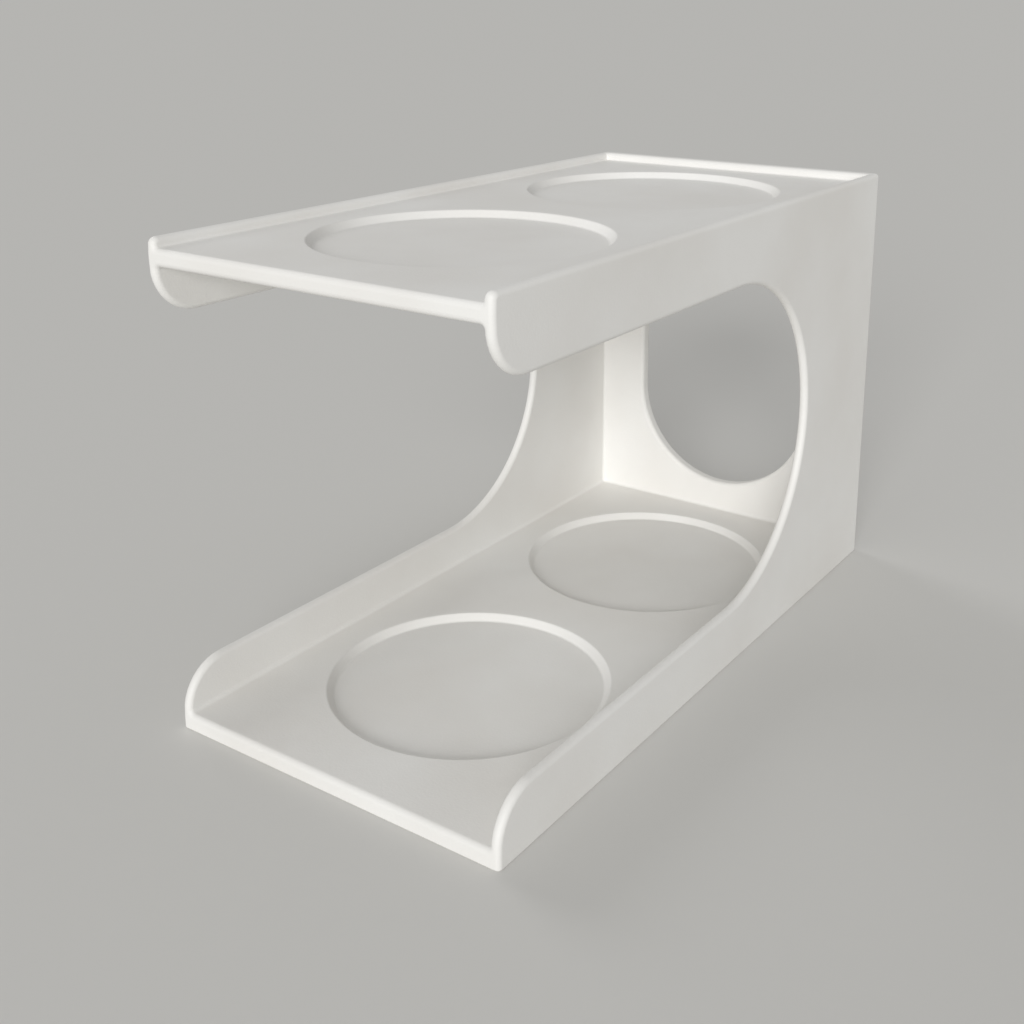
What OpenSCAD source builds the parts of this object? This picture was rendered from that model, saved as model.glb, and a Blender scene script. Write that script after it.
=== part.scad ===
// Cup organizer: a two-tier C-shaped stand with two round cup seats on each shelf.
// It is built from five panels. The shelves and the back panel carry tongues on their
// edges, which sit in stopped grooves in the panels beside them.
// Millimetres. The origin is at the middle of the footprint, on the table.
// +X is to the right, +Y points to the back and +Z is up.

/* [Overall] */
// Width over the two side panels
width = 100; // [90:1:130]
// Depth from the open front to the outer face of the back panel
depth = 200; // [185:1:240]
// Height from the table to the top of the rim
height = 126.5; // [115:0.5:160]

/* [Panels] */
// Thickness of each side panel
side_t = 2.7; // [2.2:0.1:5]
// Thickness of the back panel
back_t = 4.4; // [3.4:0.1:6]
// Thickness of the bottom shelf
base_t = 4.4; // [4:0.1:8]
// Thickness of the top shelf
top_t = 4.4; // [4:0.1:8]
// Height of the rim that stands above the top shelf
rim_h = 2.5; // [1.5:0.1:6]

/* [Side cut-outs] */
// Height of the side wall beside the bottom shelf
lower_arm_h = 16.5; // [12:0.5:30]
// Height of the side wall that hangs beside the top shelf, rim included
upper_arm_h = 19; // [14:0.5:30]
// Depth of the upright column left behind the cut-out
column_d = 48; // [35:1:70]
// Radius of the large front corner of each arm
arm_corner_r = 12.2; // [3:0.1:16.5]
// Radius of the small corner at the front end of the rim
rim_corner_r = 2; // [0.5:0.1:4]

/* [Back opening] */
// Width of the upright opening with round ends
back_hole_w = 62; // [30:0.2:75]
// Height of the opening's lowest point above the table
back_hole_low = 14.3; // [10:0.1:30]
// Wall left between the opening and the underside of the top shelf
back_hole_top_wall = 10; // [5:0.5:20]

/* [Cup seats] */
// Diameter of the seat's flat floor
seat_d = 71.6; // [50:0.2:74]
// Radius of the rounded lip around the seat
seat_lip_r = 1.25; // [0.5:0.05:1.6]
// Depth of the seat below the face of the shelf
seat_depth = 2; // [1.7:0.1:2.4]
// Distance between the centres of the two seats on a shelf
seat_pitch = 91.8; // [80:0.2:110]

/* [Panel joints] */
// Thickness of each tongue
tongue_t = 2; // [1.2:0.1:2.4]
// Length of each tongue, measured out from its shoulder
tongue_l = 1.2; // [0.8:0.1:1.4]
// Distance from the end of a panel to the end of its tongue
tongue_stop = 8; // [5:0.5:15]
// Clearance around a tongue in its groove, which the glue fills
fit_gap = 0.1; // [0.05:0.05:0.2]

/* [Hidden] */

$fn = 96;

// Extra length that carries a cut past the face it opens
cut_over = 1;

// Panel faces
inner_x = width / 2 - side_t;
front_y = -depth / 2;
back_y = depth / 2;
back_inner_y = back_y - back_t;
top_face_z = height - rim_h;
top_under_z = top_face_z - top_t;

// Side cut-out: an opening from the front that ends in a half circle
cut_low_z = lower_arm_h;
cut_high_z = height - upper_arm_h;
cut_r = (cut_high_z - cut_low_z) / 2;
cut_centre_y = back_y - column_d - cut_r;
cut_centre_z = (cut_low_z + cut_high_z) / 2;
lower_corner_r = min(arm_corner_r, lower_arm_h);
upper_corner_r = min(arm_corner_r, upper_arm_h - rim_corner_r);

// Back opening
back_hole_r = back_hole_w / 2;
back_hole_low_centre_z = back_hole_low + back_hole_r;
back_hole_high_centre_z = top_under_z - back_hole_top_wall - back_hole_r;

// Middle heights and middle depth of the tongues
base_tongue_z = base_t / 2;
top_tongue_z = top_under_z + top_t / 2;
back_tongue_y = back_y - back_t / 2;

// Where the tongues along the depth and across the width start and end
shelf_tongue_front_y = front_y + tongue_stop;
shelf_tongue_back_y = back_inner_y - tongue_stop;
shelf_tongue_half_w = inner_x - tongue_stop;
back_tongue_low_z = tongue_stop;
back_tongue_high_z = height - tongue_stop;

// A box between two opposite corners
module block(low, high) {
    translate(low) cube(high - low);
}

// What a convex corner of radius r loses, with the corner at the origin and the
// material on the side of negative x and negative y
module corner_waste(r) {
    translate([-r, -r])
        difference() {
            square(r + cut_over);
            circle(r);
        }
}

// Outline of a side panel, with the depth along x and the height along y
module side_outline() {
    difference() {
        translate([front_y, 0]) square([depth, height]);
        translate([front_y - cut_over, cut_low_z])
            square([cut_centre_y - front_y + cut_over, cut_high_z - cut_low_z]);
        translate([cut_centre_y, cut_centre_z]) circle(cut_r);
        translate([front_y, cut_low_z]) mirror([1, 0]) corner_waste(lower_corner_r);
        translate([front_y, cut_high_z]) mirror([1, 0]) mirror([0, 1]) corner_waste(upper_corner_r);
        translate([front_y, height]) mirror([1, 0]) corner_waste(rim_corner_r);
    }
}

// Tongues along both sides of a shelf, centred on the height z. With gap at the fit's
// clearance this is the groove that takes them.
module shelf_side_tongues(z, gap = 0) {
    for (side = [0, 1])
        mirror([side, 0, 0])
            block([inner_x - gap, shelf_tongue_front_y - gap, z - tongue_t / 2 - gap],
                  [inner_x + tongue_l + gap, shelf_tongue_back_y + gap, z + tongue_t / 2 + gap]);
}

// Tongue along the back edge of a shelf, or the groove that takes it
module shelf_back_tongue(z, gap = 0) {
    block([-shelf_tongue_half_w - gap, back_inner_y - gap, z - tongue_t / 2 - gap],
          [shelf_tongue_half_w + gap, back_inner_y + tongue_l + gap, z + tongue_t / 2 + gap]);
}

// Upright tongues along both sides of the back panel, or the grooves that take them
module back_side_tongues(gap = 0) {
    for (side = [0, 1])
        mirror([side, 0, 0])
            block([inner_x - gap, back_tongue_y - tongue_t / 2 - gap, back_tongue_low_z - gap],
                  [inner_x + tongue_l + gap, back_tongue_y + tongue_t / 2 + gap, back_tongue_high_z + gap]);
}

// Two round cup seats, cut down from the face at height z. The lip is a quarter round
// that widens the seat's wall towards its mouth.
module seat_cuts(z) {
    lip_start = seat_depth - seat_lip_r;
    for (row = [-1, 1])
        translate([0, row * seat_pitch / 2, z - seat_depth])
            union() {
                cylinder(d = seat_d, h = seat_depth + cut_over);
                translate([0, 0, lip_start])
                    rotate_extrude()
                        difference() {
                            square([seat_d / 2 + seat_lip_r, seat_lip_r + cut_over]);
                            translate([seat_d / 2 + seat_lip_r, 0]) circle(seat_lip_r);
                        }
            }
}

// Side panel on the right, with its grooves in the inner face
module side_panel() {
    difference() {
        translate([inner_x, 0, 0])
            rotate([90, 0, 90])
                linear_extrude(side_t) side_outline();
        shelf_side_tongues(base_tongue_z, fit_gap);
        shelf_side_tongues(top_tongue_z, fit_gap);
        back_side_tongues(fit_gap);
    }
}

// A shelf between the side panels, from the front to the back panel
module shelf(low_z, high_z, tongue_z) {
    difference() {
        block([-inner_x, front_y, low_z], [inner_x, back_inner_y, high_z]);
        seat_cuts(high_z);
    }
    shelf_side_tongues(tongue_z);
    shelf_back_tongue(tongue_z);
}

module left_side_panel() {
    color("whitesmoke") mirror([1, 0, 0]) side_panel();
}

module right_side_panel() {
    color("whitesmoke") side_panel();
}

module back_panel() {
    color("whitesmoke")
        difference() {
            union() {
                block([-inner_x, back_inner_y, 0], [inner_x, back_y, height]);
                back_side_tongues();
            }
            for (centre_z = [back_hole_low_centre_z, back_hole_high_centre_z])
                translate([0, back_y + cut_over, centre_z])
                    rotate([90, 0, 0])
                        cylinder(r = back_hole_r, h = back_t + 2 * cut_over);
            block([-back_hole_r, back_inner_y - cut_over, back_hole_low_centre_z],
                  [back_hole_r, back_y + cut_over, back_hole_high_centre_z]);
            shelf_back_tongue(base_tongue_z, fit_gap);
            shelf_back_tongue(top_tongue_z, fit_gap);
        }
}

module bottom_shelf() {
    color("whitesmoke") shelf(0, base_t, base_tongue_z);
}

module top_shelf() {
    color("whitesmoke") shelf(top_under_z, top_face_z, top_tongue_z);
}

left_side_panel();
right_side_panel();
back_panel();
bottom_shelf();
top_shelf();
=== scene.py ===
"""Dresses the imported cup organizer: a white two-tier stand for four cups.

The stand is modelled once as one smooth shell, because its corners run on from wall to wall
without a seam, and is then cut into the five panels that the frame names. It stands on a
plain pale floor in soft light.
"""

import math

import bmesh
import bpy
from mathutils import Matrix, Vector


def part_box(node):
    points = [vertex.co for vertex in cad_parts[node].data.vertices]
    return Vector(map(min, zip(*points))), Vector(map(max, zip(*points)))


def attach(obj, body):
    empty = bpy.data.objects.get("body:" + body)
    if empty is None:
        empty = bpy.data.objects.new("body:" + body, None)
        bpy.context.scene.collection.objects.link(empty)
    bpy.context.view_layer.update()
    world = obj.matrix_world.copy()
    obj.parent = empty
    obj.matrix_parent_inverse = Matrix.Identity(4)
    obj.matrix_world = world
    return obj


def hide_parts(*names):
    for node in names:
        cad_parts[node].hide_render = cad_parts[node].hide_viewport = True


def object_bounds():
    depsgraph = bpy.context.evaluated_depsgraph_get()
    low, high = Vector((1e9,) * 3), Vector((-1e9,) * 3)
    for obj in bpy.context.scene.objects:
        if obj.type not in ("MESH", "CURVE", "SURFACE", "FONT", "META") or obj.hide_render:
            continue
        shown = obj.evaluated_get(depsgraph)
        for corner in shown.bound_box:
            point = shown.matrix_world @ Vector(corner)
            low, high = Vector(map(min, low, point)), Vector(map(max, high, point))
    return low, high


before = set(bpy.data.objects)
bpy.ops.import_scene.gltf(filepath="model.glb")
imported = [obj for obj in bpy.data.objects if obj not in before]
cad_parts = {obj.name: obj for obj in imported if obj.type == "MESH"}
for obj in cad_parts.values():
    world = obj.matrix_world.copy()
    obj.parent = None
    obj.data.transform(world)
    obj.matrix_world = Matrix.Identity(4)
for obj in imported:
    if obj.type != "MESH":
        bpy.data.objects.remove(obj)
cad_low, cad_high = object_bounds()

MM = 0.001

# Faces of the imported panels, in metres
outer_x = cad_high.x
front_y, back_y = cad_low.y, cad_high.y
top_z = cad_high.z
inner_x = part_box("right_side_panel")[0].x
back_inner_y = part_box("back_panel")[0].y
base_face_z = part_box("bottom_shelf")[1].z
top_under_z, top_face_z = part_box("top_shelf")[0].z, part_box("top_shelf")[1].z

# Side cut-outs, as in the source
lower_arm_z = 16.5 * MM
upper_arm_z = top_z - 19 * MM
column_front_y = back_y - 48 * MM
arm_corner_r = 12.2 * MM
rim_corner_r = 2 * MM

# Opening in the back panel
back_hole_r = 31 * MM
back_hole_low = 14.3 * MM
back_hole_high = top_under_z - 10 * MM

# Cup seats: the radii of the flat floor and of the mouth, the depth, how far the centres lie
# from the middle, and the sides of the round cutter
seat_r = 35.8 * MM
seat_mouth_r = 37.5 * MM
seat_depth = 2 * MM
seat_y = 45.9 * MM
seat_sides = 128

# Roundings: the free edges, which leave the thin walls with round ends, the edges that it
# stands on, the inside corners of the bay and of the tray, and a seat's floor and lip
edge_r = 1.3 * MM
foot_edge_r = 0.3 * MM
fillet_r = 1 * MM
tray_fillet_r = 0.6 * MM
seat_floor_r = 0.4 * MM
seat_lip_r = 0.8 * MM

# What the first line of an arm's corner keeps clear of the rounded edges beside it
corner_gap = 0.05 * MM

# How far a cutter runs past the face that it opens
over = 20 * MM

# Where the panels part: on the flat, just past the inside corners
part_gap = 1.5 * MM
part_x = inner_x - part_gap
part_y = back_inner_y - part_gap

# Ends this close to a plane lie on it, and vertices this close together are one
TINY = 0.02 * MM
DOUBLE = 0.002 * MM

# An edge that turns more than this, in radians, is a corner and not part of a rounding
CORNER_TURN = 0.6
# and one that turns more than this stays sharp in the shading
SHARP_TURN = math.radians(35)


def add_block(name, low, high):
    """A box between two opposite corners, left open in edit mode."""
    bpy.ops.object.select_all(action="DESELECT")
    middle = [(a + b) / 2 for a, b in zip(low, high)]
    size = [b - a for a, b in zip(low, high)]
    bpy.ops.mesh.primitive_cube_add(size=1, location=middle, scale=size)
    block = bpy.context.object
    block.name = block.data.name = name
    bpy.ops.object.transform_apply(location=True, rotation=True, scale=True)
    bpy.ops.object.mode_set(mode="EDIT")
    return block


def pick_edges(wanted):
    """Selects the open piece's edges that pass the test, and the faces that they enclose."""
    bpy.context.tool_settings.mesh_select_mode = (False, True, False)
    bpy.ops.mesh.select_all(action="DESELECT")
    data = bpy.context.object.data
    mesh = bmesh.from_edit_mesh(data)
    for edge in mesh.edges:
        edge.select_set(bool(wanted(edge)))
    mesh.select_flush_mode()
    bmesh.update_edit_mesh(data)


def near(value, *targets):
    return any(abs(value - target) < TINY for target in targets)


def lies_at(edge, **place):
    """True where both ends of the edge are at the given x, y or z, or at one of several."""
    for axis, targets in place.items():
        targets = targets if isinstance(targets, tuple) else (targets,)
        if not all(near(getattr(v.co, axis), *targets) for v in edge.verts):
            return False
    return True


def round_edges(radius, steps):
    bpy.ops.mesh.bevel(
        offset=radius, segments=steps, profile=0.5, affect="EDGES", clamp_overlap=False
    )


def cut_away(piece, cutter):
    """Takes the cutter out of the piece, exactly, and throws the cutter away."""
    bpy.ops.object.mode_set(mode="OBJECT")
    bpy.context.view_layer.objects.active = piece
    cut = piece.modifiers.new("cut", "BOOLEAN")
    cut.operation, cut.solver, cut.object = "DIFFERENCE", "EXACT", cutter
    bpy.ops.object.modifier_apply(modifier=cut.name)
    bpy.data.objects.remove(cutter)
    bpy.ops.object.select_all(action="DESELECT")
    piece.select_set(True)
    bpy.ops.object.mode_set(mode="EDIT")


def merge_doubles():
    bpy.ops.mesh.select_all(action="SELECT")
    bpy.ops.mesh.remove_doubles(threshold=DOUBLE)


# The stand starts as a solid block
stand = add_block("stand", (-outer_x, front_y, 0), (outer_x, back_y, top_z))

# The C-shaped side view: a slot from the front that ends in a half circle
half_gap = (upper_arm_z - lower_arm_z) / 2
bpy.ops.object.mode_set(mode="OBJECT")
slot = add_block(
    "slot",
    (-outer_x - over, front_y - over, lower_arm_z),
    (outer_x + over, column_front_y, upper_arm_z),
)
pick_edges(
    lambda e: lies_at(e, y=column_front_y, z=(lower_arm_z, upper_arm_z))
    and not near(e.verts[0].co.x, e.verts[1].co.x)
)
round_edges(half_gap, steps=48)
merge_doubles()
cut_away(stand, slot)

# The large front corner of each arm, and the small one at the end of the rim
pick_edges(lambda e: lies_at(e, y=front_y, z=(lower_arm_z, upper_arm_z)))
round_edges(arm_corner_r, steps=10)
pick_edges(lambda e: lies_at(e, y=front_y, z=top_z))
round_edges(rim_corner_r, steps=4)

# Each corner starts on the flat front face. Its first line moves out of the way of the
# rounded edges that meet there later.
for line_z, clear_z in (
    (lower_arm_z - arm_corner_r, base_face_z - edge_r - corner_gap),
    (upper_arm_z + arm_corner_r, top_under_z + edge_r + corner_gap),
    (top_z - rim_corner_r, top_face_z - edge_r - corner_gap),
):
    pick_edges(lambda e: lies_at(e, y=front_y, z=line_z))
    bpy.ops.transform.translate(value=(0, 0, clear_z - line_z))

# The bay between the shelves and the tray above them, with round inside corners
bpy.ops.object.mode_set(mode="OBJECT")
bay = add_block(
    "bay",
    (-inner_x, front_y - over, base_face_z),
    (inner_x, back_inner_y, top_under_z),
)
pick_edges(lambda e: not lies_at(e, y=front_y - over))
round_edges(fillet_r, steps=6)
cut_away(stand, bay)

bpy.ops.object.mode_set(mode="OBJECT")
tray = add_block(
    "tray",
    (-inner_x, front_y - over, top_face_z),
    (inner_x, back_inner_y, top_z + over),
)
pick_edges(lambda e: not lies_at(e, y=front_y - over) and not lies_at(e, z=top_z + over))
round_edges(tray_fillet_r, steps=4)
cut_away(stand, tray)

# The upright opening in the back, with round ends
bpy.ops.object.mode_set(mode="OBJECT")
opening = add_block(
    "opening",
    (-back_hole_r, back_inner_y - over / 2, back_hole_low),
    (back_hole_r, back_y + over, back_hole_high),
)
pick_edges(
    lambda e: lies_at(e, x=(-back_hole_r, back_hole_r), z=(back_hole_low, back_hole_high))
    and not near(e.verts[0].co.y, e.verts[1].co.y)
)
round_edges(back_hole_r, steps=32)
merge_doubles()
cut_away(stand, opening)


def is_outside_corner(edge):
    return edge.is_convex and edge.calc_face_angle() > CORNER_TURN


# Soft free edges, and crisp ones where it stands
pick_edges(lambda e: is_outside_corner(e) and not lies_at(e, z=0))
round_edges(edge_r, steps=6)
pick_edges(lambda e: is_outside_corner(e) and lies_at(e, z=0))
round_edges(foot_edge_r, steps=1)


def add_seat(centre_y, face_z):
    """The cutter for one cup seat: a disc with a sloping wall and a rounded lip."""
    bpy.ops.object.mode_set(mode="OBJECT")
    bpy.ops.object.select_all(action="DESELECT")
    slope = math.atan2(seat_depth, seat_mouth_r - seat_r)
    lip_end_r = seat_mouth_r + seat_lip_r * math.tan(slope / 2)
    radius = lip_end_r - seat_lip_r * math.sin(slope)
    height = face_z - seat_lip_r * (1 - math.cos(slope))
    floor_z = face_z - seat_depth
    bpy.ops.mesh.primitive_cone_add(
        vertices=seat_sides,
        radius1=seat_r,
        radius2=radius,
        depth=height - floor_z,
        location=(0, centre_y, (floor_z + height) / 2),
    )
    seat = bpy.context.object
    bpy.ops.object.transform_apply(location=True, rotation=True, scale=True)
    bpy.ops.object.mode_set(mode="EDIT")
    pick_edges(lambda e: lies_at(e, z=floor_z))
    round_edges(seat_floor_r, steps=3)
    pick_edges(lambda e: lies_at(e, z=height))
    steps = 4
    for step in range(1, steps + 1):
        turn = slope * (1 - step / steps)
        wider = lip_end_r - seat_lip_r * math.sin(turn)
        higher = face_z - seat_lip_r * (1 - math.cos(turn))
        bpy.ops.mesh.extrude_region_move(
            TRANSFORM_OT_translate={"value": (0, 0, higher - height)}
        )
        bpy.ops.transform.resize(
            value=(wider / radius, wider / radius, 1), center_override=(0, centre_y, higher)
        )
        radius, height = wider, higher
    bpy.ops.mesh.extrude_region_move(TRANSFORM_OT_translate={"value": (0, 0, over)})
    return seat


for face_z in (base_face_z, top_face_z):
    for centre_y in (-seat_y, seat_y):
        cut_away(stand, add_seat(centre_y, face_z))
# The cuts can leave a second ring of vertices where a lip runs out into the shelf
merge_doubles()
bpy.ops.object.mode_set(mode="OBJECT")


def panel_of_stand(name, keeps):
    """Adds a copy of the stand that is cut down to one panel.

    Each entry of keeps is a point on a cutting plane and the direction of the side that stays.
    """
    panel = stand.copy()
    panel.data = stand.data.copy()
    panel.name = panel.data.name = name + "_shell"
    bpy.context.collection.objects.link(panel)
    bpy.ops.object.select_all(action="DESELECT")
    panel.select_set(True)
    bpy.context.view_layer.objects.active = panel
    bpy.ops.object.mode_set(mode="EDIT")
    for point, direction in keeps:
        bpy.ops.mesh.select_all(action="SELECT")
        bpy.ops.mesh.bisect(
            plane_co=point, plane_no=direction, use_fill=True, clear_inner=True
        )
    bpy.ops.object.mode_set(mode="OBJECT")
    bpy.ops.object.shade_smooth_by_angle(angle=SHARP_TURN)
    even = panel.modifiers.new("even_shading", "WEIGHTED_NORMAL")
    even.keep_sharp = True
    bpy.ops.object.modifier_apply(modifier=even.name)
    panel.data.materials.clear()
    panel.data.materials.append(plastic)
    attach(panel, "root")
    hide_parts(name)


def srgb(code):
    """A hex colour as the linear values that Blender works in, with full alpha."""
    parts = [int(code[i : i + 2], 16) / 255 for i in (1, 3, 5)]
    linear = [c / 12.92 if c <= 0.04045 else ((c + 0.055) / 1.055) ** 2.4 for c in parts]
    return (*linear, 1)


def add_node(tree, kind, inputs=()):
    """Adds a node and sets its inputs, or links them where a socket is given."""
    made = tree.nodes.new(kind)
    for name, value in dict(inputs).items():
        if isinstance(value, bpy.types.NodeSocket):
            tree.links.new(value, made.inputs[name])
        else:
            made.inputs[name].default_value = value
    return made


def new_material(name):
    material = bpy.data.materials.new(name)
    material.use_nodes = True
    material.node_tree.nodes.clear()
    return material, material.node_tree


# Matte white ABS from a textured mould: no gloss, an even spark grain that only shows as a
# soft break in the light, and a faint cloudiness where the melt cooled at different rates.
cloud_size = 45 * MM
# The mould's grain is about 0.3 mm across, drawn at 0.7 mm so that it shows
grain_size = 0.7 * MM
grain_height = 0.05 * MM
plastic, tree = new_material("white_matte_moulded_abs")
place = add_node(tree, "ShaderNodeTexCoord").outputs["Object"]
cloud = add_node(
    tree, "ShaderNodeTexNoise", {"Vector": place, "Scale": 1 / cloud_size, "Detail": 3.0}
).outputs["Fac"]
grain = add_node(
    tree, "ShaderNodeTexNoise", {"Vector": place, "Scale": 1 / grain_size, "Detail": 2.0}
).outputs["Fac"]
tint = add_node(tree, "ShaderNodeValToRGB", {"Fac": cloud})
tint.color_ramp.elements[0].position = 0.35
tint.color_ramp.elements[0].color = srgb("#E9E7E3")
tint.color_ramp.elements[1].position = 0.65
tint.color_ramp.elements[1].color = srgb("#EFEEEB")
dull = add_node(
    tree,
    "ShaderNodeMapRange",
    {"Value": grain, "From Min": 0.3, "From Max": 0.7, "To Min": 0.52, "To Max": 0.66},
).outputs["Result"]
relief = add_node(
    tree, "ShaderNodeBump", {"Height": grain, "Strength": 0.7, "Distance": grain_height}
).outputs["Normal"]
surface = add_node(
    tree,
    "ShaderNodeBsdfPrincipled",
    {
        "Base Color": tint.outputs["Color"],
        "Roughness": dull,
        "IOR": 1.53,
        "Normal": relief,
    },
)
add_node(tree, "ShaderNodeOutputMaterial", {"Surface": surface.outputs["BSDF"]})

right, left = (1, 0, 0), (-1, 0, 0)
right_plane, left_plane, back_plane = (part_x, 0, 0), (-part_x, 0, 0), (0, part_y, 0)
half_way_up = (0, 0, top_z / 2)
middle = [(left_plane, right), (right_plane, left)]
before_back = [*middle, (back_plane, (0, -1, 0))]
panel_of_stand("left_side_panel", [(left_plane, left)])
panel_of_stand("right_side_panel", [(right_plane, right)])
panel_of_stand("back_panel", [*middle, (back_plane, (0, 1, 0))])
panel_of_stand("bottom_shelf", [*before_back, (half_way_up, (0, 0, -1))])
panel_of_stand("top_shelf", [*before_back, (half_way_up, (0, 0, 1))])
bpy.data.objects.remove(stand)

# The floor: a pale board, wide enough to run on past the picture in every view
floor_size = 160
board, tree = new_material("pale_painted_board")
surface = add_node(
    tree,
    "ShaderNodeBsdfPrincipled",
    {"Base Color": srgb("#D8D7D4"), "Roughness": 1.0, "Specular IOR Level": 0.0},
)
add_node(tree, "ShaderNodeOutputMaterial", {"Surface": surface.outputs["BSDF"]})
bpy.ops.mesh.primitive_plane_add(size=floor_size)
floor = bpy.context.object
floor.name = floor.data.name = "floor"
floor.data.materials.append(board)

# Weak even light from all around
world = bpy.data.worlds.new("dim_room")
bpy.context.scene.world = world
world.use_nodes = True
tree = world.node_tree
tree.nodes.clear()
sky = add_node(tree, "ShaderNodeBackground", {"Color": srgb("#F2F2F1"), "Strength": 0.5})
add_node(tree, "ShaderNodeOutputWorld", {"Surface": sky.outputs["Background"]})

# How wide a softbox looks from the stand
softbox_width = math.radians(26)


def add_softbox(name, place, strength):
    """A large distant softbox that shines on the stand: a sun as wide as the softbox looks."""
    bpy.ops.object.light_add(type="SUN", location=place)
    lamp = bpy.context.object
    lamp.name = name
    lamp.data.angle = softbox_width
    lamp.data.energy = strength
    lamp.rotation_mode = "QUATERNION"
    lamp.rotation_quaternion = lamp.location.to_track_quat("Z", "Y")


# One low in front of the stand, so that the front edges are the brightest
add_softbox("front_softbox", place=(0.8, -2, 0.6), strength=2)
# and a weaker one on its left and a little behind it
add_softbox("left_softbox", place=(-2, 0.6, 0.9), strength=0.5)

# Camera, solved from the straight edges in the photo
bpy.ops.object.camera_add(
    location=(0.192545, -0.288402, 0.181231),
    rotation=[math.radians(a) for a in (75.3276, -0.0696, 34.3826)],
)
camera = bpy.context.object
camera.data.sensor_width = 36
camera.data.lens = 45.4316
camera.data.shift_x = -0.0402
camera.data.shift_y = -0.17845
camera.data.clip_start, camera.data.clip_end = 0.01, 200
bpy.context.scene.camera = camera

bpy.context.scene.view_settings.view_transform = "Standard"
